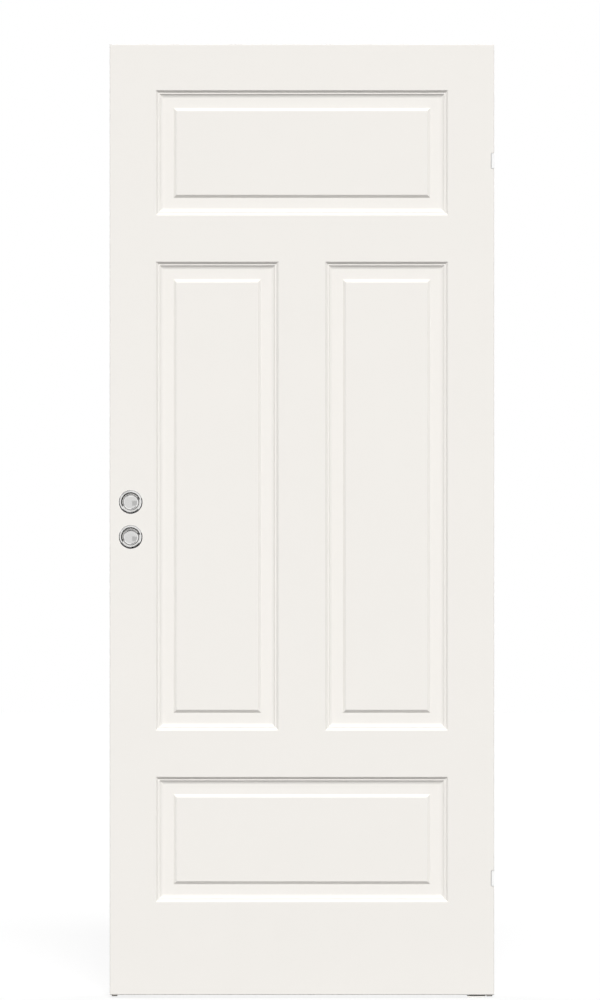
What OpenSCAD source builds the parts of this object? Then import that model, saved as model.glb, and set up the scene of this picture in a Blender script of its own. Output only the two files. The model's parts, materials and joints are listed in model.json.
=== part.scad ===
// Sliding door: a moulded four-panel leaf that runs on rollers hidden behind its top edge,
// with the timber lining frame that carries it. Millimetres, +Z up, X to the right,
// Y from the front face of the leaf towards the frame behind it.

/* [Leaf] */
// Width of the leaf
leaf_w = 825; // [725:5:1025]
// Height of the leaf
leaf_h = 2040; // [1900:5:2300]
// Thickness of the leaf
leaf_t = 40; // [38:1:50]
// Thickness of the moulded skins
skin_t = 4; // [3:0.5:5]
// Rounding of the outer edges of the skins
arris_r = 2; // [1:0.5:2.5]
// Gap between the leaf and the floor
floor_gap = 6; // [5:1:12]

/* [Panel layout] */
// Face width of the left and right stiles
stile_face = 99; // [90:1:130]
// Face width of the mullion between the tall panels
mullion_face = 100; // [60:1:140]
// Face height of the top rail
top_face = 98.5; // [95:0.5:140]
// Face height of the two cross rails
cross_face = 99.5; // [60:0.5:140]
// Face height of the bottom rail
bottom_face = 199.5; // [125:0.5:260]
// Height of the top panel
top_panel_h = 268.5; // [180:0.5:360]
// Height of the bottom panel
bottom_panel_h = 268.5; // [180:0.5:360]

/* [Panel moulding] */
// Width of the steep outer slope
slope_w = 5.1; // [3:0.1:8]
// Depth of the steep outer slope
slope_d = 4.8; // [2:0.1:6]
// Width of the flat fillet between slope and cove
fillet_w = 2.6; // [1:0.1:5]
// Width of the cove
cove_w = 9.5; // [6:0.5:14]
// Depth of the cove
cove_d = 4.4; // [2:0.1:5]
// Width of the sunk ground round the raised field
ground_w = 20.6; // [10:0.1:30]
// Width of the bevel of the raised field
bevel_w = 6.4; // [4:0.1:14]
// Height of the bevel of the raised field
bevel_h = 4.9; // [2:0.1:7]

/* [Leaf framing] */
// Width of the timber stiles inside the leaf
stile_timber = 80; // [72:1:88]
// Height of the timber top rail inside the leaf
top_timber = 90; // [60:1:94]
// Height of the timber bottom rail inside the leaf
bottom_timber = 120; // [60:1:124]

/* [Cup pulls] */
// Diameter of the flange
cup_d = 51.5; // [48:0.5:60]
// Diameter of the mouth
cup_mouth_d = 40.5; // [34:0.5:42]
// Depth of the cup below the leaf's face
cup_depth = 9.5; // [7:0.5:12]
// Height of the flange above the leaf's face
cup_lip = 2; // [1.5:0.5:3]
// Width of the flange's bevelled rim
cup_bevel_w = 2.5; // [1.5:0.1:3]
// Height of the square edge under the bevelled rim
cup_edge_h = 0.4; // [0.2:0.1:1]
// Rounding of the rim of the mouth
cup_rim_r = 1.2; // [0.4:0.1:1.4]
// Slope of the cup's wall, from the plane of the leaf
cup_lean = 72; // [66:1:80]
// Radius of the curve from the cup's wall to its floor
cup_foot_r = 3.6; // [2:0.1:5]
// Sheet thickness of the cup
cup_wall = 1.2; // [0.8:0.1:1.6]
// Distance from the leaf's left edge to the cups' centres
cup_backset = 45; // [34:1:48]
// Height of the upper cup above the leaf's bottom edge
cup_height = 1058; // [900:1:1200]
// Distance between the two cups
cup_pitch = 75; // [62:1:120]

/* [Edge inserts] */
// Width of an insert, seen from the front
insert_w = 6; // [5:0.1:12]
// Height of an insert
insert_h = 32.5; // [24:0.5:60]
// Depth of an insert into the leaf's thickness
insert_d = 24; // [12:1:30]
// Distance from the leaf's end to the middle of an insert
insert_end = 250; // [150:5:350]
// Shadow gap round an insert
insert_gap = 0.8; // [0.3:0.1:1]
// Rounding of an insert's inner corners
insert_r = 1.2; // [0.6:0.1:4]

/* [Running gear] */
// Diameter of the rollers
roller_d = 27; // [22:1:32]
// Width of the rollers
roller_w = 9; // [6:0.5:10]
// Diameter of the roller axles
axle_d = 8; // [6:0.5:8.5]
// Distance between the two rollers of a pair
roller_pitch = 32; // [32:1:44]
// Distance from the first roller of one pair to the first of the other
pair_pitch = 90; // [75:1:120]
// Depth of the leaf's running track
track_d = 18; // [17:0.5:20]
// Wall of the running track
track_wall = 2.5; // [2:0.25:3]
// Height of the slot in the running track
slot_h = 12; // [11.5:0.5:14]
// Length of the stop blocks at the ends of the track
stop_l = 12; // [10:1:24]
// Length of the rubber buffers on the stop blocks
buffer_l = 5; // [3:0.5:8]
// Thickness of the plate that carries the rollers
plate_t = 4; // [3:0.5:5]

/* [Floor guide] */
// Thickness of the guide fin
fin_t = 5; // [4:0.5:8]
// Reach of the guide fin into the leaf
fin_reach = 12; // [8:1:14]
// Depth of the guide channel in the leaf's bottom edge
channel_d = 18; // [17:1:24]
// Wall of the guide channel
channel_wall = 1.2; // [1:0.1:2]
// Sheet thickness of the guide's bracket
bracket_t = 3; // [2:0.5:4]
// Inner radius of the bracket's bend
bend_r = 2; // [1:0.5:4]

/* [Frame] */
// Thickness of the lining boards
lining_t = 12; // [10:0.5:14]
// Depth of the frame, as the wall's thickness
frame_depth = 92; // [70:1:160]
// Gap between the back of the leaf and the front of the frame
running_gap = 8; // [7:0.5:14]
// Overlap of the leaf over the clear opening at each side
side_cover = 15; // [15:0.5:17]
// Height of the beam over the lining
beam_h = 48; // [46:1:70]
// Distance from the top of the leaf down to the top of the beam
beam_drop = 3; // [2:0.5:4]
// Diameter of the fixing holes in the jambs
fix_d = 8; // [6:0.5:10]
// Height of the lowest fixing hole
fix_low = 220; // [120:5:300]
// Distance from the top of a jamb down to its highest fixing hole
fix_top = 215; // [120:5:300]

/* [Hidden] */
$fn = 96;
over = 1;              // how far a cutting body runs past a face
run_clear = 0.3;       // clearance of pieces that move past each other
axle_clear = 0.05;     // radial clearance of a roller on its axle
fit_clear = 0.1;       // clearance of pieces that are pushed together
fin_clear = 0.4;       // clearance of the fin at each side in its channel
collar_clear = 0.5;    // clearance of an axle's collar in the slot of the track
arc_steps = 8;         // chords in a rounded stretch of an outline

// Depth layout, with the middle of the whole part at y = 0
total_depth = cup_lip + leaf_t + running_gap + frame_depth;
leaf_front = cup_lip - total_depth / 2;
leaf_rear = leaf_front + leaf_t;
frame_front = leaf_rear + running_gap;
frame_back = frame_front + frame_depth;

// Panels as [x, z, width, height], in the leaf's own coordinates
wide_panel_w = leaf_w - 2 * stile_face;
tall_panel_w = (wide_panel_w - mullion_face) / 2;
tall_panel_h = leaf_h - top_face - bottom_face - 2 * cross_face - top_panel_h - bottom_panel_h;
tall_panel_x = (mullion_face + tall_panel_w) / 2;
tall_panel_z = bottom_face + bottom_panel_h + cross_face + tall_panel_h / 2;
PANELS = [
    [0, leaf_h - top_face - top_panel_h / 2, wide_panel_w, top_panel_h],
    [-tall_panel_x, tall_panel_z, tall_panel_w, tall_panel_h],
    [tall_panel_x, tall_panel_z, tall_panel_w, tall_panel_h],
    [0, bottom_face + bottom_panel_h / 2, wide_panel_w, bottom_panel_h]
];

// Moulding, from the outer edge of a panel inwards
ground_d = slope_d + cove_d;
ground_in = slope_w + fillet_w + cove_w;
bevel_in = ground_in + ground_w;
field_in = bevel_in + bevel_w;
cove_turn = 2 * atan(cove_d / cove_w);
cove_r = cove_w / sin(cove_turn);

// Cup pulls
cup_x = cup_backset - leaf_w / 2;
cup_body_r = cup_mouth_d / 2 + cup_wall;
pocket_r = cup_body_r + fit_clear;
pocket_d = cup_depth + cup_wall + fit_clear;

// Running gear, with the track flush with the leaf's top edge and back
track_h = roller_d + 2 * run_clear + 2 * track_wall;
track_in = roller_d + 2 * run_clear;
cap_t = 2;             // thickness of the track's end caps
cap_boss = 4;          // reach of an end cap into the track
clip_rim = 2.5;        // width of a retaining clip's ring
hub_rim = 3;           // width of a roller's hub round its axle
tread_rim = 3.5;       // width of a roller's rim under the tread
buffer_neck = 8;       // diameter of a buffer's nose
buffer_d = 12;         // diameter of a buffer's base
buffer_face = leaf_w / 2 - cap_t - cap_boss - stop_l - buffer_l;
last_roller_x = buffer_face - run_clear - roller_d / 2;
ROLLER_X = [
    last_roller_x - pair_pitch - roller_pitch,
    last_roller_x - pair_pitch,
    last_roller_x - roller_pitch,
    last_roller_x
];
roller_y = leaf_rear - track_d / 2;
roller_z = floor_gap + leaf_h - track_h / 2;
collar_d = slot_h - 2 * collar_clear;
clip_t = 1;
clip_d = axle_d + 2 * clip_rim;
axle_front = roller_y - roller_w / 2 - run_clear - clip_t;
collar_front = roller_y + roller_w / 2 + run_clear;
roller_edge = 1;       // chamfer of a roller's tread
roller_dish = 1.2;     // depth of the dished sides of a roller
hub_d = axle_d + 2 * hub_rim;
rim_d = roller_d - 2 * tread_rim;
stop_y = track_d / 2 - track_wall - fit_clear;
stop_z = track_in / 2 - fit_clear;
grub_d = 5;            // diameter of the set screws in the stops
plate_margin = 22;     // from an outer axle to the end of the plate
plate_above = 10;      // from the axles to the plate's top
plate_below = 32;      // from the axles to the plate's bottom
plate_corner = 6;      // rounding of the plate's corners
plate_edge = 8;        // from the plate's edges to its screws
plate_x0 = ROLLER_X[0] - plate_margin;
plate_x1 = last_roller_x + plate_margin;

// Floor guide
channel_w = fin_t + 2 * fin_clear + 2 * channel_wall;
guide_y = leaf_front + leaf_t / 2;
flange_l = 40;         // length of the bracket's flange on the jamb
flange_h = 45;         // height of the bracket's flange
flange_set = 4;        // from the frame's front to the flange
flange_screw_z = 32;   // height of the flange's screws
flange_pitch = 20;     // distance between the flange's screws
flange_y = frame_front + flange_set + flange_l / 2;
foot_l = 42;           // width of the bracket's foot under the leaf
foot_front = 10;       // from the fin's middle to the front of the foot
fin_inset = 4;         // from the foot's ends to the fin

// Frame
clear_x = leaf_w / 2 - side_cover;
frame_x = clear_x + lining_t;
beam_top = floor_gap + leaf_h - beam_drop;
beam_z = beam_top - beam_h;
frame_y = (frame_front + frame_back) / 2;
fix_n = 4;
FIX_Z = [for (i = [0:fix_n - 1]) fix_low + (beam_z - fix_top - fix_low) * i / (fix_n - 1)];
cap_recess_rim = 3;    // width of a cover cap's seat round a fixing hole
cap_recess_d = fix_d + 2 * cap_recess_rim;
cap_recess_t = 3;      // depth of a cover cap's seat

// Screws as [shank diameter, head diameter, length]
TRACK_SCREW = [4, 7, 13];
PLATE_SCREW = [5, 9, 45];
BEAM_SCREW = [5, 9, 100];
LINING_SCREW = [4, 8, 40];
GUIDE_SCREW = [3.5, 7, 11];
track_screw_end = 60;  // from the leaf's edge to the first screw of the track
track_screw_n = 6;
TRACK_SCREW_X = [for (i = [0:track_screw_n - 1])
    (leaf_w / 2 - track_screw_end) * (2 * i / (track_screw_n - 1) - 1)];
PLATE_SCREW_X = [
    plate_x0 + plate_edge,
    (plate_x0 + plate_x1) / 2,
    plate_x1 - plate_edge
];
PLATE_SCREW_Z = [roller_z + plate_above - plate_edge, roller_z - plate_below + plate_edge];
screw_side = 26;       // distance of a frame screw from the middle of the frame's depth

PAINT = [0.95, 0.94, 0.92];
PLASTIC = [0.98, 0.98, 0.98];
TIMBER = [0.85, 0.72, 0.53];
CHROME = [0.82, 0.83, 0.84];
ALUMINIUM = [0.75, 0.76, 0.77];
STEEL = [0.62, 0.63, 0.65];
NYLON = [0.16, 0.16, 0.17];
RUBBER = [0.09, 0.09, 0.09];
BOARD = [0.72, 0.6, 0.44];

// Placing and extruding

// Leaf coordinates: y runs in from the front face, z up from the bottom edge
module in_leaf() {
    translate([0, leaf_front, floor_gap]) children();
}

// Turns what is made for the front of the leaf to its back
module at_rear() {
    translate([0, leaf_t, 0]) mirror([0, 1, 0]) children();
}

module along_x(length) {
    rotate([0, -90, 0]) linear_extrude(length, center = true) children();
}

module along_z(length) {
    linear_extrude(length, center = true) children();
}

// A round body's axis turned from +Z to +Y, into the leaf or the frame
module into_y() {
    rotate([-90, 0, 0]) children();
}

module box(low, high) {
    translate(low) cube(high - low);
}

module rounded_square(low, high, r) {
    translate([low.x + r, low.y]) square([high.x - low.x - 2 * r, high.y - low.y]);
    translate([low.x, low.y + r]) square([high.x - low.x, high.y - low.y - 2 * r]);
    for (x = [low.x + r, high.x - r])
        for (y = [low.y + r, high.y - r])
            translate([x, y]) circle(r);
}

// Two crossed prisms leave a form with the same section on all four sides and mitred corners
module mitred(w, h, section_w, section_h) {
    intersection() {
        along_z(h + 2 * over) polygon(section_w);
        along_x(w + 2 * over) polygon(section_h);
    }
}

// Screws

module screw(size) {
    cylinder(h = (size[1] - size[0]) / 2, d1 = size[1], d2 = size[0]);
    cylinder(h = size[2], d = size[0]);
}

module screw_hole(size) {
    translate([0, 0, -over]) cylinder(h = over, d = size[1] + 2 * fit_clear);
    cylinder(h = (size[1] - size[0]) / 2, d1 = size[1] + 2 * fit_clear, d2 = size[0] + 2 * fit_clear);
    cylinder(h = size[2] + fit_clear, d = size[0] + 2 * fit_clear);
}

// Panel moulding

// Outline of the moulding as [distance from the panel's edge, depth]
function sticking() = concat(
    [[0, 0], [slope_w, slope_d]],
    [for (i = [0:arc_steps])
        let (turn = cove_turn * (1 - i / arc_steps))
        [ground_in - cove_r * sin(turn), ground_d - cove_r * (1 - cos(turn))]]
);

function recess_section(span) = let (side = sticking(), last = len(side) - 1) concat(
    [[-span / 2, -over]],
    [for (p = side) [p.x - span / 2, p.y]],
    [for (i = [last:-1:0]) [span / 2 - side[i].x, side[i].y]],
    [[span / 2, -over]]
);

function field_section(span) = [
    [bevel_in - span / 2, ground_d + over],
    [bevel_in - span / 2, ground_d],
    [field_in - span / 2, ground_d - bevel_h],
    [span / 2 - field_in, ground_d - bevel_h],
    [span / 2 - bevel_in, ground_d],
    [span / 2 - bevel_in, ground_d + over]
];

// What the mouldings take out of a flat face: the sunk panels less their raised fields
module mouldings() {
    for (p = PANELS)
        translate([p[0], 0, p[1]])
            difference() {
                mitred(p[2], p[3], recess_section(p[2]), recess_section(p[3]));
                mitred(p[2], p[3], field_section(p[2]), field_section(p[3]));
            }
}

// Leaf

function slab_section(span) = concat(
    [[-span / 2, skin_t]],
    [for (i = [0:arc_steps]) let (a = 180 + 90 * i / arc_steps)
        [arris_r * (1 + cos(a)) - span / 2, arris_r * (1 + sin(a))]],
    [for (i = [0:arc_steps]) let (a = 270 + 90 * i / arc_steps)
        [span / 2 - arris_r * (1 - cos(a)), arris_r * (1 + sin(a))]],
    [[span / 2, skin_t]]
);

module cup_pockets() {
    for (z = [cup_height, cup_height - cup_pitch])
        translate([cup_x, -over, z]) into_y() cylinder(h = pocket_d + over, r = pocket_r);
}

// A tongue let into the right edge, with rounded inner corners, grown all round by a gap
module edge_tongue(z, gap) {
    reach = insert_w + gap;
    rise = insert_h / 2 + gap;
    translate([leaf_w / 2, insert_d, z]) rotate([90, 0, 0]) linear_extrude(insert_d + gap)
        rounded_square([-reach, -rise], [reach, rise], insert_r + gap);
}

module insert_recesses() {
    for (z = [insert_end, leaf_h - insert_end])
        edge_tongue(z, insert_gap);
}

module track_rebate() {
    box([-leaf_w / 2 - over, leaf_t - track_d, leaf_h - track_h],
        [leaf_w / 2 + over, leaf_t + over, leaf_h + over]);
}

module guide_groove() {
    box([-leaf_w / 2 - over, (leaf_t - channel_w) / 2, -over],
        [leaf_w / 2 + over, (leaf_t + channel_w) / 2, channel_d]);
}

module track_screw_holes() {
    for (x = TRACK_SCREW_X)
        translate([x, leaf_t - track_d + track_wall, leaf_h - track_h / 2])
            rotate([90, 0, 0]) screw_hole(TRACK_SCREW);
}

// A pressed skin: one wall that follows the mouldings at an even thickness
module skin() {
    difference() {
        union() {
            translate([0, 0, leaf_h / 2])
                mitred(leaf_w, leaf_h, slab_section(leaf_w), slab_section(leaf_h));
            translate([0, skin_t, 0]) mouldings();
        }
        mouldings();
        cup_pockets();
    }
}

module front_skin() {
    color(PAINT) in_leaf() difference() {
        skin();
        insert_recesses();
    }
}

module rear_skin() {
    color(PAINT) in_leaf() difference() {
        at_rear() skin();
        track_rebate();
    }
}

module stile_blank(x) {
    box([x, skin_t, 0], [x + stile_timber, leaf_t - skin_t, leaf_h]);
}

module stile_left() {
    color(PAINT) in_leaf() difference() {
        stile_blank(-leaf_w / 2);
        cup_pockets();
        at_rear() cup_pockets();
        track_rebate();
        track_screw_holes();
        guide_groove();
    }
}

module stile_right() {
    color(PAINT) in_leaf() difference() {
        stile_blank(leaf_w / 2 - stile_timber);
        insert_recesses();
        track_rebate();
        track_screw_holes();
        guide_groove();
    }
}

module between_stiles(z0, z1) {
    box([stile_timber - leaf_w / 2, skin_t, z0], [leaf_w / 2 - stile_timber, leaf_t - skin_t, z1]);
}

module top_rail() {
    color(PAINT) in_leaf() difference() {
        between_stiles(leaf_h - top_timber, leaf_h);
        track_rebate();
        track_screw_holes();
    }
}

module bottom_rail() {
    color(PAINT) in_leaf() difference() {
        between_stiles(0, bottom_timber);
        guide_groove();
    }
}

module core() {
    color(BOARD) in_leaf() difference() {
        between_stiles(bottom_timber, leaf_h - top_timber);
        translate([0, skin_t, 0]) mouldings();
        at_rear() translate([0, skin_t, 0]) mouldings();
    }
}

// Cup pulls

// Half section of a cup as [radius, depth below the leaf's face]
function cup_arc(cx, cy, rx, ry, from, to) = [
    for (i = [0:arc_steps]) let (a = from + (to - from) * i / arc_steps) [cx + rx * cos(a), cy + ry * sin(a)]
];

function cup_section() = let (
    rim = cup_arc(cup_mouth_d / 2 + cup_rim_r, cup_rim_r - cup_lip, cup_rim_r, -cup_rim_r, 90, 90 + cup_lean),
    wall_top = rim[arc_steps],
    wall_h = cup_depth - wall_top[1] - cup_foot_r * (1 - cos(cup_lean)),
    floor_r = wall_top[0] - wall_h / tan(cup_lean) - cup_foot_r * sin(cup_lean),
    back_r = cup_body_r - floor_r
) concat(
    [[cup_d / 2, 0], [cup_d / 2, -cup_edge_h], [cup_d / 2 - cup_bevel_w, -cup_lip]],
    rim,
    cup_arc(floor_r, cup_depth - cup_foot_r, cup_foot_r, cup_foot_r, 90 - cup_lean, 90),
    [[0, cup_depth], [0, cup_depth + cup_wall]],
    cup_arc(floor_r, cup_depth + cup_wall - back_r, back_r, back_r, 90, 0),
    [[cup_body_r, 0]]
);

module cup(z) {
    color(CHROME) translate([cup_x, 0, z]) into_y() rotate_extrude() polygon(cup_section());
}

module pull_front_upper() {
    in_leaf() cup(cup_height);
}

module pull_front_lower() {
    in_leaf() cup(cup_height - cup_pitch);
}

module pull_rear_upper() {
    in_leaf() at_rear() cup(cup_height);
}

module pull_rear_lower() {
    in_leaf() at_rear() cup(cup_height - cup_pitch);
}

// Edge inserts

module edge_insert(z) {
    color(PLASTIC) in_leaf() intersection() {
        edge_tongue(z, 0);
        box([0, -over, 0], [leaf_w / 2, leaf_t, leaf_h]);
    }
}

module edge_insert_upper() {
    edge_insert(leaf_h - insert_end);
}

module edge_insert_lower() {
    edge_insert(insert_end);
}

// Running track in the leaf

// Section of the track in [z, y], from its lower front corner
module track_section() {
    difference() {
        square([track_h, track_d]);
        translate([track_wall, track_wall]) square([track_in, track_d - 2 * track_wall]);
        translate([(track_h - slot_h) / 2, track_d / 2]) square([slot_h, track_d]);
    }
}

module leaf_track() {
    color(ALUMINIUM) in_leaf() difference() {
        translate([0, leaf_t - track_d, leaf_h - track_h]) along_x(leaf_w - 2 * cap_t) track_section();
        track_screw_holes();
    }
}

module track_screws() {
    color(STEEL) in_leaf()
        for (x = TRACK_SCREW_X)
            translate([x, leaf_t - track_d + track_wall, leaf_h - track_h / 2])
                rotate([90, 0, 0]) screw(TRACK_SCREW);
}

// What sits in the track at its right end; the left end is its mirror image
module in_track_end(side) {
    in_leaf() translate([0, leaf_t - track_d / 2, leaf_h - track_h / 2])
        mirror([side < 0 ? 1 : 0, 0, 0]) translate([buffer_face, 0, 0]) children();
}

module track_stop(side) {
    color(ALUMINIUM) in_track_end(side) difference() {
        box([buffer_l, -stop_y, -stop_z], [buffer_l + stop_l, stop_y, stop_z]);
        translate([buffer_l + stop_l / 2, -stop_y - over, 0])
            into_y() cylinder(h = 2 * (stop_y + over), d = grub_d + 2 * fit_clear);
    }
}

module track_stop_left() {
    track_stop(-1);
}

module track_stop_right() {
    track_stop(1);
}

module stop_screws() {
    color(STEEL)
        for (side = [-1, 1])
            in_track_end(side) translate([buffer_l + stop_l / 2, -track_d / 2 + track_wall, 0])
                into_y() cylinder(h = track_d - 2 * track_wall, d = grub_d);
}

module track_buffer(side) {
    color(RUBBER) in_track_end(side) rotate([0, 90, 0]) {
        cylinder(h = buffer_l / 2, d = buffer_neck);
        translate([0, 0, buffer_l / 2]) cylinder(h = buffer_l / 2, d = buffer_d);
    }
}

module track_buffer_left() {
    track_buffer(-1);
}

module track_buffer_right() {
    track_buffer(1);
}

module track_cap(side) {
    color(PLASTIC) in_track_end(side) translate([buffer_l + stop_l, 0, 0]) {
        box([0, -stop_y, -stop_z], [cap_boss, stop_y, stop_z]);
        box([cap_boss, -track_d / 2, -track_h / 2], [cap_boss + cap_t, track_d / 2, track_h / 2]);
    }
}

module track_cap_left() {
    track_cap(-1);
}

module track_cap_right() {
    track_cap(1);
}

module guide_channel() {
    color(ALUMINIUM) in_leaf() difference() {
        box([-leaf_w / 2, (leaf_t - channel_w) / 2, 0], [leaf_w / 2, (leaf_t + channel_w) / 2, channel_d]);
        box([-leaf_w / 2 - over, (leaf_t - channel_w) / 2 + channel_wall, -over],
            [leaf_w / 2 + over, (leaf_t + channel_w) / 2 - channel_wall, channel_d - channel_wall]);
    }
}

// Rollers on the frame

// Half section of a roller as [radius, distance along its axle]
function roller_side(s) = [
    [axle_d / 2 + axle_clear, s * roller_w / 2],
    [hub_d / 2, s * roller_w / 2],
    [hub_d / 2, s * (roller_w / 2 - roller_dish)],
    [rim_d / 2, s * (roller_w / 2 - roller_dish)],
    [rim_d / 2, s * roller_w / 2],
    [roller_d / 2 - roller_edge, s * roller_w / 2],
    [roller_d / 2, s * (roller_w / 2 - roller_edge)]
];

module roller(i) {
    front = roller_side(-1);
    back = roller_side(1);
    last = len(back) - 1;
    color(NYLON) translate([ROLLER_X[i], roller_y, roller_z]) into_y()
        rotate_extrude() polygon(concat(front, [for (k = [last:-1:0]) back[k]]));
}

module roller_1() {
    roller(0);
}

module roller_2() {
    roller(1);
}

module roller_3() {
    roller(2);
}

module roller_4() {
    roller(3);
}

module roller_axles() {
    color(STEEL)
        for (x = ROLLER_X) {
            translate([x, axle_front, roller_z]) into_y() cylinder(h = frame_front - axle_front, d = axle_d);
            translate([x, collar_front, roller_z])
                into_y() cylinder(h = frame_front - plate_t - collar_front, d = collar_d);
        }
}

module axle_clips() {
    color(STEEL)
        for (x = ROLLER_X)
            translate([x, axle_front, roller_z]) into_y() difference() {
                cylinder(h = clip_t, d = clip_d);
                translate([0, 0, -over]) cylinder(h = clip_t + 2 * over, d = axle_d);
            }
}

module plate_screw_places() {
    for (x = PLATE_SCREW_X)
        for (z = PLATE_SCREW_Z)
            translate([x, frame_front - plate_t, z]) into_y() children();
}

module roller_plate() {
    color(STEEL) difference() {
        translate([0, frame_front, 0]) rotate([90, 0, 0]) linear_extrude(plate_t)
            rounded_square([plate_x0, roller_z - plate_below], [plate_x1, roller_z + plate_above],
                plate_corner);
        for (x = ROLLER_X)
            translate([x, frame_front - plate_t - over, roller_z])
                into_y() cylinder(h = plate_t + 2 * over, d = axle_d);
        plate_screw_places() screw_hole(PLATE_SCREW);
    }
}

module plate_screws() {
    color(STEEL) plate_screw_places() screw(PLATE_SCREW);
}

// Frame

module fixing_holes() {
    for (z = FIX_Z)
        translate([0, frame_y, z]) rotate([0, 90, 0]) {
            translate([0, 0, -over]) cylinder(h = lining_t + 2 * over, d = fix_d);
            translate([0, 0, -over]) cylinder(h = cap_recess_t + over, d = cap_recess_d);
        }
}

module beam_screw_places() {
    for (x = [-1, 1])
        for (y = [-1, 1])
            translate([x * (clear_x + lining_t / 2), frame_y + y * screw_side, beam_top])
                rotate([180, 0, 0]) children();
}

module lining_screw_places() {
    for (x = [-1, 1])
        for (y = [-1, 1])
            translate([x * clear_x / 2, frame_y + y * screw_side, beam_z - lining_t]) children();
}

module guide_screw_places() {
    for (y = [-1, 1])
        translate([clear_x - bracket_t, flange_y + y * flange_pitch / 2, flange_screw_z])
            rotate([0, 90, 0]) children();
}

// The right jamb stands on the +X side; the left one is its mirror image
module jamb() {
    difference() {
        box([clear_x, frame_front, 0], [frame_x, frame_back, beam_z]);
        translate([clear_x, 0, 0]) fixing_holes();
        beam_screw_places() screw_hole(BEAM_SCREW);
    }
}

module jamb_left() {
    color(PAINT) mirror([1, 0, 0]) jamb();
}

module jamb_right() {
    color(PAINT) difference() {
        jamb();
        guide_screw_places() screw_hole(GUIDE_SCREW);
    }
}

module head_lining() {
    color(PAINT) difference() {
        box([-clear_x, frame_front, beam_z - lining_t], [clear_x, frame_back, beam_z]);
        lining_screw_places() screw_hole(LINING_SCREW);
    }
}

module head_beam() {
    color(TIMBER) difference() {
        box([-frame_x, frame_front, beam_z], [frame_x, frame_back, beam_top]);
        beam_screw_places() screw_hole(BEAM_SCREW);
        lining_screw_places() screw_hole(LINING_SCREW);
        plate_screw_places() screw_hole(PLATE_SCREW);
    }
}

module frame_screws() {
    color(STEEL) beam_screw_places() screw(BEAM_SCREW);
}

module lining_screws() {
    color(STEEL) lining_screw_places() screw(LINING_SCREW);
}

// Floor guide

// Section of the folded bracket in [x, z], from the jamb's face at the floor
module bracket_section() {
    fold_r = bend_r + bracket_t;
    translate([-bracket_t, fold_r]) square([bracket_t, flange_h - fold_r]);
    translate([-foot_l, 0]) square([foot_l - fold_r, bracket_t]);
    translate([-fold_r, fold_r]) intersection() {
        difference() {
            circle(fold_r);
            circle(bend_r);
        }
        translate([0, -fold_r]) square(fold_r);
    }
}

module guide_bracket() {
    flange_front = frame_front + flange_set;
    color(PLASTIC) difference() {
        union() {
            translate([clear_x, flange_front + flange_l, 0])
                rotate([90, 0, 0]) linear_extrude(flange_l) bracket_section();
            box([clear_x - foot_l, guide_y - foot_front, 0],
                [clear_x - bend_r - bracket_t, flange_front + over, bracket_t]);
        }
        guide_screw_places() screw_hole(GUIDE_SCREW);
    }
}

module guide_fin() {
    fin_l = foot_l - 2 * fin_inset;
    color(NYLON) translate([clear_x - foot_l / 2, guide_y, bracket_t])
        linear_extrude(floor_gap + fin_reach - bracket_t) {
            square([fin_l - fin_t, fin_t], center = true);
            for (x = [-1, 1])
                translate([x * (fin_l - fin_t) / 2, 0]) circle(d = fin_t);
        }
}

module guide_screws() {
    color(STEEL) guide_screw_places() screw(GUIDE_SCREW);
}

front_skin();
rear_skin();
stile_left();
stile_right();
top_rail();
bottom_rail();
core();
pull_front_upper();
pull_front_lower();
pull_rear_upper();
pull_rear_lower();
edge_insert_upper();
edge_insert_lower();
leaf_track();
track_screws();
track_stop_left();
track_stop_right();
track_buffer_left();
track_buffer_right();
track_cap_left();
track_cap_right();
stop_screws();
guide_channel();
roller_1();
roller_2();
roller_3();
roller_4();
jamb_left();
jamb_right();
head_lining();
head_beam();
frame_screws();
lining_screws();
roller_plate();
plate_screws();
roller_axles();
axle_clips();
guide_bracket();
guide_fin();
guide_screws();
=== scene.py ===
import json
import math

import bmesh
import bpy
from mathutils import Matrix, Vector
from mathutils.geometry import tessellate_polygon


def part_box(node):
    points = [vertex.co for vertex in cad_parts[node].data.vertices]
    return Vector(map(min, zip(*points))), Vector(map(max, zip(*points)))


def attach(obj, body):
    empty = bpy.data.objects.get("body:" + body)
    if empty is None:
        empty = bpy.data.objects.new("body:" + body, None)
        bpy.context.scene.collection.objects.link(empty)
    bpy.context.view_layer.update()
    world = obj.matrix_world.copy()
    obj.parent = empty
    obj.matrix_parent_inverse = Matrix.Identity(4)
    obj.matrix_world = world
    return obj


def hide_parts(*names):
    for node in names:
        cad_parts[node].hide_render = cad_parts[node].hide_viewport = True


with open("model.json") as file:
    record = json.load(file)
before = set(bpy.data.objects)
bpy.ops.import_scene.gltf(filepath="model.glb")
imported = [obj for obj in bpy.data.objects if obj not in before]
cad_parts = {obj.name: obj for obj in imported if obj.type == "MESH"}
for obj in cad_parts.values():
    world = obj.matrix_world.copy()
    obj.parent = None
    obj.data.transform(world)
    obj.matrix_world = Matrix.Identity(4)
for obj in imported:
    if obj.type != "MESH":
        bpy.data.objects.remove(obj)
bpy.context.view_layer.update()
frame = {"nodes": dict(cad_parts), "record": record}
record = frame["record"]
nodes = frame["nodes"]
bodyOf = {name: body for body, members in record["behaviour"]["bodies"].items() for name in members}
slotOf = {row["node"]: row["material_slot"] for row in record["subparts"]}
mm = 0.001
print("frame loaded,", len(nodes), "nodes")


# Sockets and materials

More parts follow.
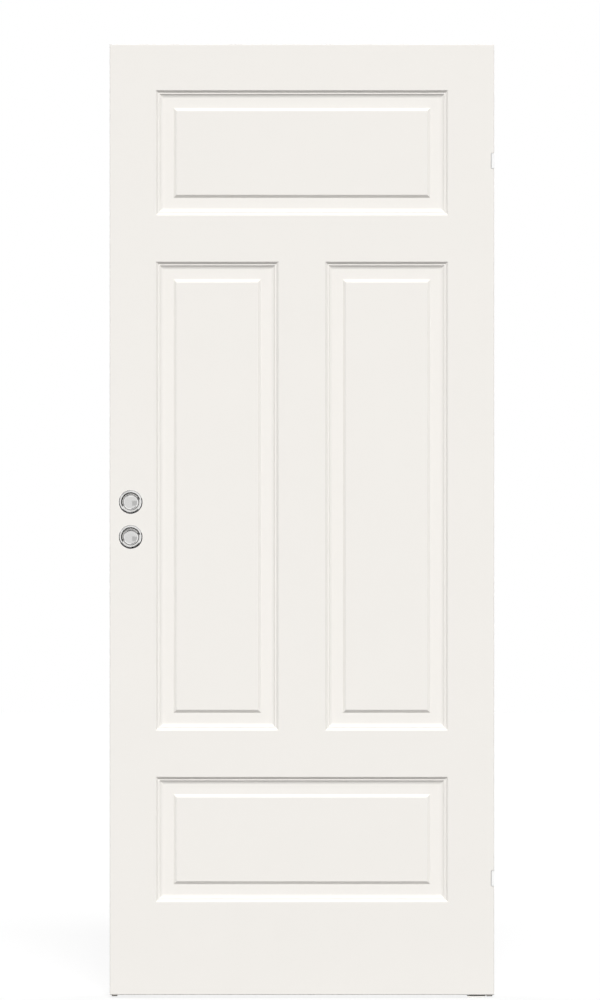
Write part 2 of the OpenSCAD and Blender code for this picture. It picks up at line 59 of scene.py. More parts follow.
class Sock:
    # one output socket of a node tree, so that shader maths reads as plain sums
    def __init__(self, tree, socket=None):
        self.tree = tree
        self.socket = socket

    def make(self, kind, settings=None, sockets=None, out=0):
        made = self.tree.nodes.new(kind)
        for key, value in (settings or {}).items():
            setattr(made, key, value)
        for key, value in (sockets or {}).items():
            for part in value if isinstance(value, list) else [value]:  # a list feeds one socket many times
                if isinstance(part, Sock):
                    self.tree.links.new(part.socket, made.inputs[key])
                else:
                    made.inputs[key].default_value = part
        return Sock(self.tree, made.outputs[out] if made.outputs else None)

    def maths(self, operation, *values):
        return self.make("ShaderNodeMath", {"operation": operation}, dict(enumerate(values)))

    def __add__(self, other):
        return self.maths("ADD", self, other)

    def __radd__(self, other):
        return self.maths("ADD", other, self)

    def __sub__(self, other):
        return self.maths("SUBTRACT", self, other)

    def __rsub__(self, other):
        return self.maths("SUBTRACT", other, self)

    def __mul__(self, other):
        return self.maths("MULTIPLY", self, other)

    def __rmul__(self, other):
        return self.maths("MULTIPLY", other, self)

    def noise(self, perMetre, detail, stretch=(1, 1, 1)):
        where = self.make("ShaderNodeMapping", {}, {"Vector": self, "Scale": stretch})
        return self.make("ShaderNodeTexNoise", {}, {"Vector": where, "Scale": perMetre, "Detail": detail})

    def between(self, low, high):
        return low + (high - low) * self

    def tint(self, low, high):
        sockets = {0: self, 6: (*low, 1), 7: (*high, 1)}  # the factor and the two colours of a Mix node
        return self.make("ShaderNodeMix", {"data_type": "RGBA"}, sockets, out=2)

    def bump(self, depth):
        return self.make("ShaderNodeBump", {}, {"Height": self, "Distance": depth * mm, "Strength": 1.0})


def emptyMaterial(name):
    material = bpy.data.materials.new(name)
    material.use_nodes = True
    material.node_tree.nodes.clear()
    return material, Sock(material.node_tree)


def tones(colour, shares):
    return [tuple(channel * share for channel in colour) for share in shares]


paintCoat = {
    "cloudsPerMetre": 9, "clouds": (0.992, 1.008),  # slight changes in the colour
    "roughPerMetre": 35, "rough": (0.36, 0.46),
    "gloss": 0.35,
}


def paint(where, look):
    clouds = where.noise(paintCoat["cloudsPerMetre"], detail=3)
    stipple = where.noise(look["perMetre"], detail=2, stretch=look["stretch"])
    return {
        "Base Color": clouds.tint(*tones(look["colour"], paintCoat["clouds"])),
        "Roughness": where.noise(paintCoat["roughPerMetre"], detail=3).between(*paintCoat["rough"]),
        "Normal": stipple.bump(look["depth"]),
        "Specular IOR Level": paintCoat["gloss"],
    }


metalTones = (0.93, 1.0)


def metal(where, look):
    streaks = where.noise(look["perMetre"], detail=3, stretch=look["stretch"])
    return {
        "Base Color": streaks.tint(*tones(look["colour"], metalTones)),
        "Metallic": 1.0,
        "Roughness": streaks.between(*look["rough"]),
        "Normal": streaks.bump(look["depth"]),
    }


mouldedSkin = {"tones": (0.97, 1.02), "roughPerMetre": 60}


def moulded(where, look):
    grain = where.noise(look["perMetre"], detail=2)
    return {
        "Base Color": grain.tint(*tones(look["colour"], mouldedSkin["tones"])),
        "Roughness": where.noise(mouldedSkin["roughPerMetre"], detail=3).between(*look["rough"]),
        "Normal": grain.bump(look["depth"]),
    }


pine = {
    "pith": (0.02, 1.95),          # y and z of the tree's middle, under the beam
    "ring": 0.0042,                # one year's growth
    "along": 0.8, "across": 20.0,  # how fine the grain is along the beam and across it
    "waver": 3.5,
    "early": (0.72, 0.55, 0.36), "late": (0.55, 0.37, 0.2),
    "fibrePerMetre": 900, "fibreStretch": (0.03, 1, 1),
    "streaksPerMetre": 4, "streakStretch": (0.4, 1, 1),
    "shares": (0.6, 0.25, 0.3),    # of rings, fibre and streaks in the colour
    "rough": (0.52, 0.7),
    "ringRelief": 0.5, "depth": 0.05,
}


def planedPine(where, look):
    pithY, pithZ = look["pith"]
    across = look["across"]
    log = where.make("ShaderNodeMapping", {}, {
        "Vector": where,
        "Scale": (look["along"], across, across),
        "Location": (0, -across * pithY, -across * pithZ),
    })
    waveScale = 0.1 * math.pi / (across * look["ring"])  # a Wave node at scale 1 has a ring every pi / 10
    rings = where.make(
        "ShaderNodeTexWave",
        {"wave_type": "RINGS", "rings_direction": "X", "wave_profile": "SAW"},
        {"Vector": log, "Scale": waveScale, "Distortion": look["waver"], "Detail": 3},
        out=1,
    )
    fibre = where.noise(look["fibrePerMetre"], detail=2, stretch=look["fibreStretch"])
    streaks = where.noise(look["streaksPerMetre"], detail=3, stretch=look["streakStretch"])
    ringShare, fibreShare, streakShare = look["shares"]
    mask = ringShare * rings * rings + fibreShare * fibre + streakShare * streaks
    return {
        "Base Color": mask.tint(look["early"], look["late"]),
        "Roughness": fibre.between(*look["rough"]),
        "Normal": (fibre + look["ringRelief"] * rings).bump(look["depth"]),
    }


chromeColour = (0.91, 0.905, 0.895)
looks = {  # depths in millimetres; a colour that isn't given here is the record's
    "leaf_paint": (paint, {"perMetre": 900, "depth": 0.02}),
    "frame_paint": (paint, {"perMetre": 500, "depth": 0.03, "stretch": (1, 1, 0.1)}),
    "timber": (planedPine, pine),
    "core_board": (moulded, {"perMetre": 400, "depth": 0.1, "rough": (0.8, 0.9)}),
    "chrome": (metal, {"perMetre": 300, "depth": 0.0005, "rough": (0.02, 0.05), "colour": chromeColour}),
    "aluminium": (metal, {"perMetre": 2500, "depth": 0.01, "rough": (0.28, 0.4), "stretch": (0.01, 1, 1)}),
    "steel": (metal, {"perMetre": 160, "depth": 0.01, "rough": (0.25, 0.42)}),
    "nylon": (moulded, {"perMetre": 1500, "depth": 0.01, "rough": (0.42, 0.55)}),
    "rubber": (moulded, {"perMetre": 1200, "depth": 0.04, "rough": (0.75, 0.9)}),
    "white_plastic": (moulded, {"perMetre": 1400, "depth": 0.01, "rough": (0.35, 0.45)}),
    "white_steel": (moulded, {"perMetre": 1100, "depth": 0.03, "rough": (0.42, 0.55)}),
}


def mixFinish(slot):
    dress, own = looks[slot]
    given = next(row["base_color"] for row in record["materials"] if row["slot"] == slot)
    look = {"colour": given[:3], "stretch": (1, 1, 1), **own}
    material, start = emptyMaterial(slot)
    where = start.make("ShaderNodeTexCoord", out="Object")
    shader = start.make("ShaderNodeBsdfPrincipled", {}, dress(where, look))
    start.make("ShaderNodeOutputMaterial", {}, {"Surface": shader})
    return material


finishes = {slot: mixFinish(slot) for slot in looks}
for name, node in nodes.items():
    node.data.materials.clear()
    node.data.materials.append(finishes[slotOf[name]])
    node.data.polygons.foreach_set("material_index", [0] * len(node.data.polygons))
print("finishes mixed,", len(finishes))


# Shared mesh tools

flatFacing = 0.9995  # a face that looks this squarely along an axis is shaded flat


def stand(name, data):
    item = bpy.data.objects.new(name, data)
    bpy.context.scene.collection.objects.link(item)
    return item


def evaluatedMesh(item):
    return bpy.data.meshes.new_from_object(item.evaluated_get(bpy.context.evaluated_depsgraph_get()))


def toMesh(shape, name):
    mesh = bpy.data.meshes.new(name)
    shape.to_mesh(mesh)
    shape.free()
    return mesh


def closedMesh(shape, name):
    bmesh.ops.recalc_face_normals(shape, faces=shape.faces)
    return toMesh(shape, name)


def bridge(shape, first, second):
    count = len(first)
    for i in range(count):
        j = (i + 1) % count
        shape.faces.new((first[i], first[j], second[j], second[i]))


def plate(shape, outline, holes):
    loops = [outline] + holes
    corners = [vert for loop in loops for vert in loop]
    for triple in tessellate_polygon([[vert.co for vert in loop] for loop in loops]):
        shape.faces.new([corners[i] for i in triple])


def smoothFlags(mesh, crease, flatAlong=None):
    mesh.set_sharp_from_angle(angle=math.radians(crease))  # this makes every face smooth, so flat ones follow
    for face in mesh.polygons:
        face.use_smooth = flatAlong is None or abs(face.normal[flatAlong]) < flatFacing


def asPiece(mesh, name, node):
    piece = stand(name, mesh)
    mesh.materials.clear()
    mesh.materials.append(finishes[slotOf[node]])
    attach(piece, bodyOf[node])
    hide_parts(node)


def prism(outline, y0, y1):
    shape = bmesh.new()
    ends = [[shape.verts.new((x, y, z)) for x, z in outline] for y in (y0, y1)]
    bridge(shape, *ends)
    for end in ends:
        shape.faces.new(end)
    return stand("cutter", closedMesh(shape, "cutter"))


def cutAway(mesh, cutters):
    body = stand("body", mesh)
    for cutter in cutters:
        step = body.modifiers.new("cut", "BOOLEAN")
        step.operation = "DIFFERENCE"
        step.solver = "EXACT"
        step.object = cutter
    result = evaluatedMesh(body)
    for spent in [body] + cutters:
        bpy.data.objects.remove(spent)
    shape = bmesh.new()
    shape.from_mesh(result)
    rims = [edge for edge in shape.edges if edge.is_boundary]
    bmesh.ops.holes_fill(shape, edges=rims, sides=4)  # closes slivers that the cut leaves
    shape.to_mesh(result)
    shape.free()
    return result


# Moulded skins of the leaf, sizes in millimetres

skin = {
    "stile": 99.0, "mullion": 100.0, "top": 98.5, "cross": 99.5, "bottom": 199.5,  # widths of the flat faces
    "topPanel": 268.5, "bottomPanel": 268.5,
    "slope": (5.1, 4.8), "fillet": 2.6, "cove": (9.5, 4.4),  # each width, with its depth where it has one
    "ground": 20.6, "bevel": (6.4, 4.9),
    "softEdge": 0.7,             # how far the paint rounds each edge of the moulding
    "softSteps": 6,
    "coveSteps": 18,
    "lead": 2.0,                 # flat run on either side of the moulding, so that its outer edges round too
    "arris": 2.0, "arrisSteps": 10,
    "wall": 4.0,
    "cupHole": 21.55, "cupSteps": 128,
    "notch": (6.8, 17.05, 2.0),  # reach, half height and corner of the cut for an edge insert
    "notchSteps": 12,
    "over": 10.0,                # how far a cutter stands out of what it cuts
    "crease": 9.5,               # degrees
}
softening = {"least": 15, "before": 0.45, "after": 0.9}  # degrees, and the most that rounding takes of a run


def softLine(points, reach, steps):
    line = [points[0]]
    for before, corner, after in zip(points, points[1:], points[2:]):
        back = Vector(before) - Vector(corner)
        ahead = Vector(after) - Vector(corner)
        if math.degrees(math.pi - back.angle(ahead)) < softening["least"]:
            line.append(corner)
            continue
        start = Vector(corner) + back * min(reach / back.length, softening["before"])
        end = Vector(corner) + ahead * min(reach / ahead.length, softening["after"])
        for i in range(steps + 1):
            t = i / steps
            line.append(tuple(start * (1 - t) ** 2 + Vector(corner) * 2 * t * (1 - t) + end * t ** 2))
    return line + [points[-1]]


def mouldingLine():
    slopeWide, slopeDeep = skin["slope"]
    coveWide, coveDeep = skin["cove"]
    bevelWide, bevelHigh = skin["bevel"]
    groundIn = slopeWide + skin["fillet"] + coveWide
    groundDeep = slopeDeep + coveDeep
    bevelIn = groundIn + skin["ground"]
    fieldIn, fieldDeep = bevelIn + bevelWide, groundDeep - bevelHigh
    turn = 2 * math.atan(coveDeep / coveWide)
    radius = coveWide / math.sin(turn)
    line = [(-skin["lead"], 0), (0, 0), (slopeWide, slopeDeep)]
    for i in range(skin["coveSteps"] + 1):
        angle = turn * (1 - i / skin["coveSteps"])
        line.append((groundIn - radius * math.sin(angle), groundDeep - radius * (1 - math.cos(angle))))
    line += [(bevelIn, groundDeep), (fieldIn, fieldDeep), (fieldIn + skin["lead"], fieldDeep)]
    return softLine(line, skin["softEdge"], skin["softSteps"])[1:-1]


def panelRects(low, high):
    left, right = low.x + skin["stile"] * mm, high.x - skin["stile"] * mm
    middle, half = (low.x + high.x) / 2, skin["mullion"] * mm / 2
    z0 = low.z + skin["bottom"] * mm
    z1 = z0 + skin["bottomPanel"] * mm
    z2 = z1 + skin["cross"] * mm
    z5 = high.z - skin["top"] * mm
    z4 = z5 - skin["topPanel"] * mm
    z3 = z4 - skin["cross"] * mm
    return [
        (left, right, z0, z1),
        (left, middle - half, z2, z3),
        (middle + half, right, z2, z3),
        (left, right, z4, z5),
    ]


def insetRing(shape, rect, inset, y):
    left, right, base, top = rect
    x0, x1 = left + inset * mm, right - inset * mm
    z0, z1 = base + inset * mm, top - inset * mm
    return [shape.verts.new((x, y, z)) for x, z in ((x0, z0), (x1, z0), (x1, z1), (x0, z1))]


def bridgeAll(shape, loops):
    for first, second in zip(loops, loops[1:]):
        bridge(shape, first, second)


def pressedShell(low, high, face, inwards):
    shape = bmesh.new()
    line = mouldingLine()
    wall = skin["wall"]
    outer, inner = [], []
    for rect in panelRects(low, high):
        for holes, extra in ((outer, 0), (inner, wall)):
            loops = []
            for inset, deep in line:
                loops.append(insetRing(shape, rect, inset, face + inwards * (deep + extra) * mm))
            bridgeAll(shape, loops)
            shape.faces.new(loops[-1])
            holes.append(loops[0])
    whole = (low.x, high.x, low.z, high.z)
    rims = []
    for i in range(skin["arrisSteps"] + 1):
        angle = math.pi / 2 * i / skin["arrisSteps"]
        inset, deep = [skin["arris"] * (1 - part) for part in (math.sin(angle), math.cos(angle))]
        rims.append(insetRing(shape, whole, inset, face + inwards * deep * mm))
    rims.append(insetRing(shape, whole, 0, face + inwards * wall * mm))
    bridgeAll(shape, rims)
    plate(shape, rims[0], outer)
    plate(shape, rims[-1], inner)
    return closedMesh(shape, "shell")


def cupCutter(node):
    low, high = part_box(node)
    x, z = (low.x + high.x) / 2, (low.z + high.z) / 2
    radius, over = skin["cupHole"] * mm, skin["over"] * mm
    turns = [2 * math.pi * i / skin["cupSteps"] for i in range(skin["cupSteps"])]
    outline = [(x + radius * math.cos(turn), z + radius * math.sin(turn)) for turn in turns]
    return prism(outline, low.y - over, high.y + over)


def notchCutter(node, edge):
    low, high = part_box(node)
    reach, rise, corner = [value * mm for value in skin["notch"]]
    over = skin["over"] * mm
    z = (low.z + high.z) / 2
    outline = [(edge + over, z - rise), (edge + over, z + rise)]
    for side in (1, -1):
        for i in range(skin["notchSteps"] + 1):
            angle = math.pi / 2 * i / skin["notchSteps"]
            across, along = math.sin(angle), math.cos(angle)
            if side < 0:
                across, along = along, across
            outline.append((edge - reach + corner * (1 - across), z + side * (rise - corner * (1 - along))))
    return prism(outline, low.y - over, high.y + over)


def rebateCutter(leafTop, rearTop):
    over = skin["over"] * mm
    wide, top = leafTop.x + over, leafTop.z + over
    outline = [(-wide, rearTop.z), (wide, rearTop.z), (wide, top), (-wide, top)]
    return prism(outline, rearTop.y - over, rearTop.y + over)


def makeSkins():
    low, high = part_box("front_skin")
    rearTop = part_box("rear_skin")[1]  # the rear skin stops short of the leaf's top, below the track
    frontCutters = [cupCutter("pull_front_upper"), cupCutter("pull_front_lower")]
    frontCutters += [notchCutter("edge_insert_upper", high.x), notchCutter("edge_insert_lower", high.x)]
    rearCutters = [cupCutter("pull_rear_upper"), cupCutter("pull_rear_lower"), rebateCutter(high, rearTop)]
    sides = {"front_skin": (low.y, 1, frontCutters), "rear_skin": (rearTop.y, -1, rearCutters)}
    for node, (face, inwards, cutters) in sides.items():
        mesh = cutAway(pressedShell(low, high, face, inwards), cutters)
        smoothFlags(mesh, skin["crease"], flatAlong=1)
        asPiece(mesh, node + "_pressed", node)


makeSkins()
print("skins pressed")


# Cup pulls, turned from one half section, sizes in millimetres

cup = {
    "flange": 25.75, "mouth": 20.25, "floor": 14.2,  # radii
    "lip": 2.0, "depth": 9.5, "wall": 1.2,
    "bevel": (23.25, 25.5), "bevelTilt": 32.0,  # sloping rim of the flange, from and to these radii
    "skirt": 0.5,        # how far the flange's edge rises straight, as a share of the bevel's lower end
    "crownFall": 0.09,   # how far the flange falls from its inner rim to the bevel
    "edgeRound": 0.2,
    "rimRound": 1.2,
    "wallTilt": 72.0,    # lean of the wall above the curve that rises from the floor
    "dish": 0.25,        # hollow of the floor at its middle
    "dishSteps": 5,
    "arcSteps": 14, "segments": 128,
    "longest": 0.5,      # longest straight run without a point, to hold the shading
    "crease": 30,        # degrees
}


def arc(cx, cy, rx, ry, start, stop, steps):
    turns = [math.radians(start + (stop - start) * i / steps) for i in range(steps + 1)]
    return [(cx + rx * math.cos(turn), cy + ry * math.sin(turn)) for turn in turns]


def fineLine(line, longest):
    fine = [line[0]]
    for first, second in zip(line, line[1:]):
        parts = math.ceil(math.dist(first, second) / longest)
        fine += [tuple(a + (b - a) * i / parts for a, b in zip(first, second)) for i in range(1, parts + 1)]
    return fine


def cupLine():
    steps, rim, tilt = cup["arcSteps"], cup["rimRound"], math.radians(cup["wallTilt"])
    floor, deep = cup["floor"], cup["depth"]
    crown, brow = cup["bevel"]
    crownHigh = cup["lip"] - cup["crownFall"]
    browHigh = crownHigh - (brow - crown) * math.tan(math.radians(cup["bevelTilt"]))
    edge = [
        (cup["flange"], 0),
        (cup["flange"], -cup["skirt"] * browHigh),
        (brow, -browHigh),
        (crown, -crownHigh),
        (cup["mouth"] + rim, -cup["lip"]),
    ]
    line = softLine(edge, cup["edgeRound"], steps // 2)[:-1]
    line += arc(cup["mouth"] + rim, rim - cup["lip"], rim, -rim, 90, 90 + cup["wallTilt"], steps // 2)
    top, rise = line[-1][0] - floor, deep - line[-1][1]
    foot = (top * math.tan(tilt) - rise) / (math.sin(tilt) * math.tan(tilt) - 1 + math.cos(tilt))
    line += arc(floor, deep - foot, foot, foot, 90 - cup["wallTilt"], 90, steps)
    line = fineLine(line, cup["longest"])
    for i in range(1, cup["dishSteps"] + 1):
        t = 1 - i / cup["dishSteps"]
        line.append((floor * t, deep + cup["dish"] * (1 - t * t)))
    line.append((0, deep + cup["wall"]))
    shell = cup["mouth"] - floor + cup["wall"]
    line += arc(floor, deep + cup["wall"] - shell, shell, shell, 90, 0, steps // 2)
    return line + [(cup["mouth"] + cup["wall"], 0)]


def turned(line, segments, centre, side):
    shape = bmesh.new()
    turns = [2 * math.pi * i / segments for i in range(segments)]
    rings = []
    for radius, deep in line:
        rings.append([shape.verts.new((
            centre.x + radius * mm * math.cos(turn),
            centre.y + side * deep * mm,
            centre.z + radius * mm * math.sin(turn),
        )) for turn in (turns if radius > 0 else turns[:1])])  # one point on the axis
    for first, second in zip(rings, rings[1:] + rings[:1]):
        if len(first) == len(second) == 1:
            continue
        for i in range(segments):
            pairs = ((first, i), (first, i + 1), (second, i + 1), (second, i))
            corners = [loop[place % len(loop)] for loop, place in pairs]
            shape.faces.new(list(dict.fromkeys(corners)))
    return shape


def makeCups():
    faces = {"front": (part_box("front_skin")[0].y, 1), "rear": (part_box("rear_skin")[1].y, -1)}
    for place, (face, side) in faces.items():
        for level in ("upper", "lower"):
            node = f"pull_{place}_{level}"
            low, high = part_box(node)
            centre = Vector(((low.x + high.x) / 2, face, (low.z + high.z) / 2))
            mesh = closedMesh(turned(cupLine(), cup["segments"], centre, side), node)
            smoothFlags(mesh, cup["crease"])
            asPiece(mesh, node + "_turned", node)


makeCups()
print("cups turned")


# Boards and small hardware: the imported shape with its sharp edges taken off

edgeRounds = {  # millimetres off the edge
    "jamb_left": 1.2, "jamb_right": 1.2, "head_lining": 1.2, "head_beam": 1.5,
    "edge_insert_upper": 0.15, "edge_insert_lower": 0.15,
    "track_cap_left": 0.5, "track_cap_right": 0.5, "leaf_track": 0.35,
    "track_stop_left": 0.5, "track_stop_right": 0.5, "track_buffer_left": 0.8, "track_buffer_right": 0.8,
    "roller_1": 0.4, "roller_2": 0.4, "roller_3": 0.4, "roller_4": 0.4,
    "roller_plate": 0.5, "roller_axles": 0.4, "axle_clips": 0.2, "guide_bracket": 0.5, "guide_fin": 1.0,
}
easing = {
    "weld": 0.001,  # millimetres between points that are one
    "flat": 0.5,    # degrees up to which two faces are one plane
    "curved": 25,   # degrees up to which they are one round surface
    "sharp": 40,    # degrees from which their edge is rounded
    "steps": 3,
}


def mergedCopy(node):
    shape = bmesh.new()
    shape.from_mesh(nodes[node].data)
    bmesh.ops.remove_doubles(shape, verts=shape.verts, dist=easing["weld"] * mm)
    return shape


def isCurved(face, eased):
    # a facet of a round surface has a neighbour at a slight angle
    for edge in face.edges:
        others = [other for other in edge.link_faces if other is not face and other not in eased]
        if others and math.radians(easing["flat"]) < edge.calc_face_angle(0) < math.radians(easing["curved"]):
            return True
    return False


def makeRounded():
    flat, sharp = math.radians(easing["flat"]), math.radians(easing["sharp"])
    for node, width in edgeRounds.items():
        shape = mergedCopy(node)
        bmesh.ops.dissolve_limit(shape, angle_limit=flat, verts=shape.verts, edges=shape.edges)
        edges = [edge for edge in shape.edges
                 if edge.is_manifold and edge.is_convex and edge.calc_face_angle(0) > sharp]
        made = bmesh.ops.bevel(
            shape, geom=edges, offset=width * mm, segments=easing["steps"], profile=0.5,
            affect="EDGES", clamp_overlap=True)
        eased = set(made["faces"])
        smooth = [face in eased or isCurved(face, eased) for face in shape.faces]
        mesh = toMesh(shape, node)
        mesh.set_sharp_from_angle(angle=sharp)
        mesh.polygons.foreach_set("use_smooth", smooth)
        asPiece(mesh, node + "_eased", node)


makeRounded()
print("edges eased,", len(edgeRounds), "pieces")


# Countersunk cross-head screws, one tree for every group

screwGroups = {  # the way the screw points, and its shank in millimetres
    "track_screws": ((0, -1, 0), 4.0),
    "plate_screws": ((0, 1, 0), 5.0),
    "frame_screws": ((0, 0, -1), 5.0),
    "lining_screws": ((0, 0, 1), 4.0),
    "guide_screws": ((1, 0, 0), 3.5),
}
crossHead = {
    "sides": 40,
    "shank": 0.49,                # radius as a share of the shank, so that it stays clear of the head's rim
    "slot": (0.46, 0.12, 0.4),    # length, width and height of each arm's cutter, as shares of the head
    "crease": 30,                 # degrees
}


def screwTree():
    tree = bpy.data.node_groups.new("crossHeadScrews", "GeometryNodeTree")
    inputs = {
        "Places": "Geometry", "Head": "Float", "Shank": "Float", "Length": "Float",
        "Axis": "Vector", "Finish": "Material",
    }
    for name, kind in inputs.items():
        tree.interface.new_socket(name, in_out="INPUT", socket_type="NodeSocket" + kind)
    tree.interface.new_socket("Screws", in_out="OUTPUT", socket_type="NodeSocketGeometry")
    start = Sock(tree)
    given = tree.nodes.new("NodeGroupInput")
    ask = {name: Sock(tree, given.outputs[name]) for name in inputs}
    fall = 0.5 * (ask["Head"] - ask["Shank"])  # the head is a cone of 45 degrees
    head = start.make("GeometryNodeMeshCone", {}, {
        "Vertices": crossHead["sides"],
        "Radius Bottom": 0.5 * ask["Head"],
        "Radius Top": 0.5 * ask["Shank"],
        "Depth": fall,
    })
    shank = start.make("GeometryNodeMeshCylinder", {}, {
        "Vertices": crossHead["sides"],
        "Radius": crossHead["shank"] * ask["Shank"],
        "Depth": ask["Length"] - 0.5 * fall,
    })
    middle = start.make("ShaderNodeCombineXYZ", {}, {"Z": 0.5 * (ask["Length"] + 0.5 * fall)})
    shank = start.make("GeometryNodeTransform", {}, {"Geometry": shank, "Translation": middle})
    join = {"operation": "UNION", "solver": "EXACT"}  # the quick solver loses a head this small
    body = start.make("GeometryNodeMeshBoolean", join, {"Mesh 2": [head, shank]})
    long, thin, tall = crossHead["slot"]
    slots = []
    for x, y in ((long, thin), (thin, long)):
        size = start.make("ShaderNodeCombineXYZ", {}, {
            "X": x * ask["Head"], "Y": y * ask["Head"], "Z": tall * ask["Head"]})
        slots.append(start.make("GeometryNodeMeshCube", {}, {"Size": size}))
    cut = {"operation": "DIFFERENCE", "solver": "EXACT"}
    screw = start.make("GeometryNodeMeshBoolean", cut, {"Mesh 1": body, "Mesh 2": slots})
    turn = start.make("FunctionNodeAlignRotationToVector", {"axis": "Z"}, {"Vector": ask["Axis"]})
    placed = start.make("GeometryNodeInstanceOnPoints", {}, {
        "Points": ask["Places"], "Instance": screw, "Rotation": turn})
    real = start.make("GeometryNodeRealizeInstances", {}, {"Geometry": placed})
    done = start.make("GeometryNodeSetMaterial", {}, {"Geometry": real, "Material": ask["Finish"]})
    start.make("NodeGroupOutput", {}, {"Screws": done})
    return tree


def looseBoxes(node):
    shape = mergedCopy(node)
    left, found = set(shape.verts), []
    while left:
        island, fresh = [], [left.pop()]
        while fresh:
            vert = fresh.pop()
            island.append(vert.co.copy())
            near = {edge.other_vert(vert) for edge in vert.link_edges} & left
            left -= near
            fresh += near
        found.append([Vector([pick(point[i] for point in island) for i in range(3)]) for pick in (min, max)])
    shape.free()
    return found


def makeScrews():
    tree = screwTree()
    named = {item.name: item.identifier for item in tree.interface.items_tree}
    for node, (axis, shank) in screwGroups.items():
        along = Vector(axis)
        places, sizes = [], []
        for low, high in looseBoxes(node):
            middle, size = (low + high) / 2, high - low
            length = abs(size.dot(along))
            places.append(middle - along * length / 2)
            sizes.append((max(size - along * size.dot(along)), length))
        mesh = bpy.data.meshes.new(node)
        mesh.from_pydata(places, [], [])
        holder = stand(node + "_places", mesh)
        step = holder.modifiers.new("screws", "NODES")
        step.node_group = tree
        head, length = sizes[0]  # the screws of a group are alike
        values = {
            "Head": head, "Shank": shank * mm, "Length": length,
            "Axis": [float(part) for part in axis], "Finish": finishes[slotOf[node]],
        }
        for name, value in values.items():
            step[named[name]] = value
        made = evaluatedMesh(holder)
        bpy.data.objects.remove(holder)
        smoothFlags(made, crossHead["crease"])
        asPiece(made, node + "_driven", node)


makeScrews()
print("screws driven")


# Stage: floor, backdrop, light and camera

studio = {
    "floorSide": 40.0,
    "floorWhite": 0.8,    # with the lamps on it this comes out as white
    "floorGlow": 0.8,     # share of the floor's white that no shadow takes
    "floorBounce": 0.12,  # what the floor gives back to the object
    "ambient": 0.08,
    "lamps": {  # strength, elevation, azimuth from the front and spread
        "key": (3.55, 38.0, 3.0, 15.0),
        "backLeft": (2.2, 22.0, 225.0, 40.0),
        "backRight": (2.2, 22.0, 135.0, 40.0),
    },
}


def grey(tone):
    return (tone, tone, tone, 1)


def showsWhite(start):
    path = start.make("ShaderNodeLightPath")
    outputs = path.socket.node.outputs
    camera, glossy, through = [
        Sock(start.tree, outputs[f"Is {kind} Ray"]) for kind in ("Camera", "Glossy", "Transmission")]
    return start.maths("MAXIMUM", camera, start.maths("MAXIMUM", glossy, through))


def makeFloor():
    half = studio["floorSide"] / 2
    mesh = bpy.data.meshes.new("floor")
    corners = [(-half, -half, 0), (half, -half, 0), (half, half, 0), (-half, half, 0)]
    mesh.from_pydata(corners, [], [(0, 1, 2, 3)])
    material, start = emptyMaterial("floor")
    dim = start.make("ShaderNodeBsdfDiffuse", {}, {"Color": grey(studio["floorBounce"])})
    lit = start.make("ShaderNodeBsdfDiffuse", {}, {"Color": grey(studio["floorWhite"])})
    glow = start.make("ShaderNodeEmission", {}, {"Color": grey(1), "Strength": 1.0})
    white = start.make("ShaderNodeMixShader", {}, {0: studio["floorGlow"], 1: lit, 2: glow})
    mix = start.make("ShaderNodeMixShader", {}, {0: showsWhite(start), 1: dim, 2: white})
    start.make("ShaderNodeOutputMaterial", {}, {"Surface": mix})
    mesh.materials.append(material)
    floor = stand("floor", mesh)


def makeWorld():
    world = bpy.data.worlds.new("studio")
    world.use_nodes = True
    world.node_tree.nodes.clear()
    start = Sock(world.node_tree)
    strength = showsWhite(start).between(studio["ambient"], 1)
    light = start.make("ShaderNodeBackground", {}, {"Color": grey(1), "Strength": strength})
    start.make("ShaderNodeOutputWorld", {}, {"Surface": light})
    bpy.context.scene.world = world


def makeLamps():
    for name, (strength, elevation, azimuth, spread) in studio["lamps"].items():
        data = bpy.data.lights.new(name, "SUN")
        data.energy = strength
        data.angle = math.radians(spread)
        lamp = stand(name, data)
        rise, turn = math.radians(elevation), math.radians(azimuth)
        level = math.cos(rise)
        towards = Vector((level * math.sin(turn), -level * math.cos(turn), math.sin(rise)))
        lamp.rotation_euler = towards.to_track_quat("Z", "Y").to_euler()
        lamp.visible_glossy = False  # no glint of the lamps in the chrome


footLight = {"deep": 5.0, "past": 6.0, "clear": 0.3, "radiance": 2.1}  # sizes in millimetres


def makeFootLight():
    # the light that a white floor sends back under the leaf, onto the floor guide's foot
    low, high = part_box("guide_bracket")
    data = bpy.data.lights.new("footLight", "AREA")
    data.shape = "RECTANGLE"
    data.size = high.x - low.x + 2 * footLight["past"] * mm
    data.size_y = footLight["deep"] * mm
    data.energy = footLight["radiance"] * math.pi * data.size * data.size_y
    lamp = stand("footLight", data)
    lamp.location = ((low.x + high.x) / 2, low.y - data.size_y / 2, footLight["clear"] * mm)
    lamp.rotation_euler = (math.pi, 0, 0)  # facing up
    lamp.visible_glossy = False


flags = {  # cards that only metal mirrors: degrees off the cups' axis, degrees round the clock, tone
    "floorBounceFlag": ((2.8, 4.6), (110, 250), 0.8),
    "lowCrownFlag": ((4.6, 16), (176, 232), 0.13),
    "strokeCrownFlag": ((4.6, 16), (129, 176), 0.0),
    "lowRimFlag": ((57, 72), (135, 225), 0.0),
    "lowerLeftRimFlag": ((57, 72), (225, 262), 0.02),
    "leftRimFlag": ((59, 70), (262, 292), 0.2),
    "rightRimFlag": ((57, 72), (70, 135), 0.02),
    "topRimFlag": ((59, 70), (292, 430), 0.6),
    "wallFlag": ((31, 54), (60, 255), 0.0),
    "strokeFlag": ((8, 37), (310, 356.5), 0.0),
    "rimStrokeFlag": ((73, 90), (310, 356.5), 0.0),
}
flagStand = {
    "reach": 3.0,    # metres from the cups
    "step": 6.0,     # degrees between the points of a flag
    "lean": 0.0247,  # how far the camera stands to the side of the cups, for each metre away
    "clear": 0.02,   # height at which a flag stops over the floor
}
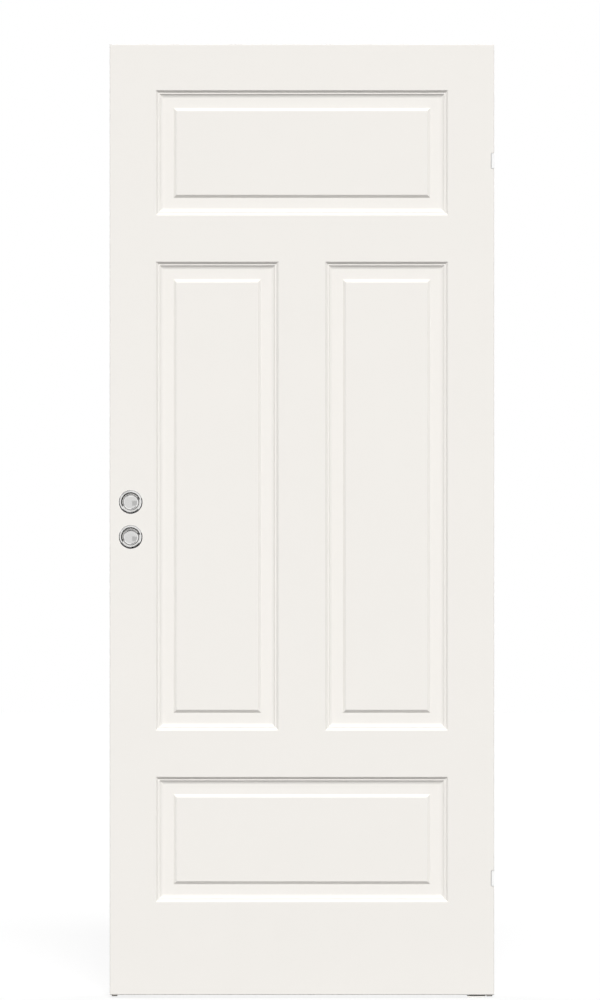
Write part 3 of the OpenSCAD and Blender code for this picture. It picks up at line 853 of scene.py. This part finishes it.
cards = {  # the same, far off: left, right, low, high and distance in metres, and tone
    "patchCard": ((-4.2, -1.86, 0.56, 2.6, 40), 0.54),
    "floorCard": ((-4.6, 1.6, -2, 4, 41), 0.77),
}


def flagPoint(centre, off, clock):
    off, clock = math.radians(off), math.radians(clock)
    aside = math.sin(off) * math.sin(clock) - flagStand["lean"] * math.cos(off)
    ray = Vector((aside, -math.cos(off), math.sin(off) * math.cos(clock)))
    reach = flagStand["reach"]
    if ray.z < 0:
        reach = min(reach, (centre.z - flagStand["clear"]) / -ray.z)
    return centre + ray * reach


def addFlag(name, points, faces, tone):
    mesh = bpy.data.meshes.new(name)
    mesh.from_pydata(points, [], faces)
    material, start = emptyMaterial(name)
    glow = start.make("ShaderNodeEmission", {}, {"Color": grey(tone), "Strength": 1.0})
    start.make("ShaderNodeOutputMaterial", {}, {"Surface": glow})
    mesh.materials.append(material)
    flag = stand(name, mesh)
    for ray in ("camera", "diffuse", "transmission", "volume_scatter", "shadow"):
        setattr(flag, "visible_" + ray, False)


def evenSteps(ends):
    first, last = ends
    count = math.ceil((last - first) / flagStand["step"])
    return [first + (last - first) * i / count for i in range(count + 1)]


def makeFlags():
    low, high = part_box("pull_front_lower")[0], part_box("pull_front_upper")[1]
    centre = Vector(((low.x + high.x) / 2, low.y, (low.z + high.z) / 2))
    for name, (offs, clocks, tone) in flags.items():
        rows, columns = evenSteps(offs), evenSteps(clocks)
        points = [flagPoint(centre, off, clock) for off in rows for clock in columns]
        wide = len(columns)
        starts = [i * wide + j for i in range(len(rows) - 1) for j in range(wide - 1)]
        addFlag(name, points, [(at, at + 1, at + wide + 1, at + wide) for at in starts], tone)
    for name, ((left, right, base, top, away), tone) in cards.items():
        points = [(left, -away, base), (right, -away, base), (right, -away, top), (left, -away, top)]
        addFlag(name, points, [(0, 1, 2, 3)], tone)


shot = {
    "leafLeft": 109.4, "leafRight": 494.5, "leafTop": 44.3, "leafBottom": 995.0,  # its edges, in pixels
    "width": 600, "height": 1000,
    "distance": 15.0,
    "sensor": 36.0,
    "clipEnd": 200,
}


def makeCamera():
    low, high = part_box("front_skin")
    scale = (shot["leafBottom"] - shot["leafTop"]) / (high.z - low.z)  # pixels per metre on the leaf's face
    middle = (shot["leafLeft"] + shot["leafRight"]) / 2
    data = bpy.data.cameras.new("camera")
    data.sensor_width = shot["sensor"]
    data.lens = shot["sensor"] * scale * shot["distance"] / shot["height"]
    data.clip_end = shot["clipEnd"]
    camera = stand("camera", data)
    camera.location = (
        (low.x + high.x) / 2 - (middle - shot["width"] / 2) / scale,
        low.y - shot["distance"],
        high.z - (shot["height"] / 2 - shot["leafTop"]) / scale,
    )
    camera.rotation_euler = (math.radians(90), 0, 0)
    bpy.context.scene.camera = camera


makeFloor()
makeWorld()
makeLamps()
makeFootLight()
makeFlags()
makeCamera()
bpy.context.scene.view_settings.view_transform = "Standard"
print("stage set")
